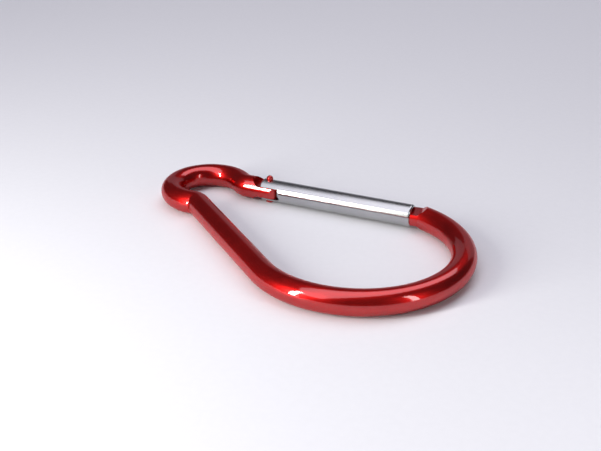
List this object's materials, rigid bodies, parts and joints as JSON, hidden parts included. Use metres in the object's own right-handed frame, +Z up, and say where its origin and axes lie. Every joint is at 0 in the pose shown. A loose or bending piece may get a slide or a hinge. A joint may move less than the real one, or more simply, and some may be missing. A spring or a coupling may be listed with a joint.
{
  "type": "carabiner keyring",
  "caption": "Pear-shaped rod carabiner for keys, with a hook eye at the narrow end and a sprung tube gate that swings inward.",
  "frame": {"origin": "under the middle of the outline, level with the lowest point, the lower rivet head", "axes": "+X from the small hook eye to the wide bow, +Y towards the gate's side, +Z up through the flat of the clip"},
  "size_m": [0.0772, 0.0462, 0.0062],
  "materials": {
    "red_anodised": "glossy clear-coated red",
    "red_rivet": "glossy red",
    "polished_tube": "polished",
    "plunger_steel": "turned",
    "spring_steel": "drawn wire",
    "seat_brass": "turned"
  },
  "bodies": {
    "frame": {"frame": "red_anodised"},
    "gate": {"gate_tube": "polished_tube", "hinge_rivet": "red_rivet", "spring_seat": "seat_brass", "gate_spring": "spring_steel"},
    "plunger": {"spring_plunger": "plunger_steel"}
  },
  "joints": [
    {"name": "gate_hinge", "type": "hinge", "parent": "frame", "child": "gate", "pos_m": [-0.01776, 0.00892, 0.00275], "axis": [0, 0, -1], "range_deg": [0, 40], "stiffness_Nm_per_rad": 0.01, "springref_deg": -85.94},
    {"name": "plunger_slide", "type": "slide", "parent": "gate", "child": "plunger", "axis": [0.9441, 0.3295, 0], "range_m": [0, 0.000293], "deforming": ["gate_spring"]}
  ],
  "couplings": [
    {"joint": "plunger_slide", "follows": "gate_hinge", "m_per_rad": 0.00042}
  ]
}
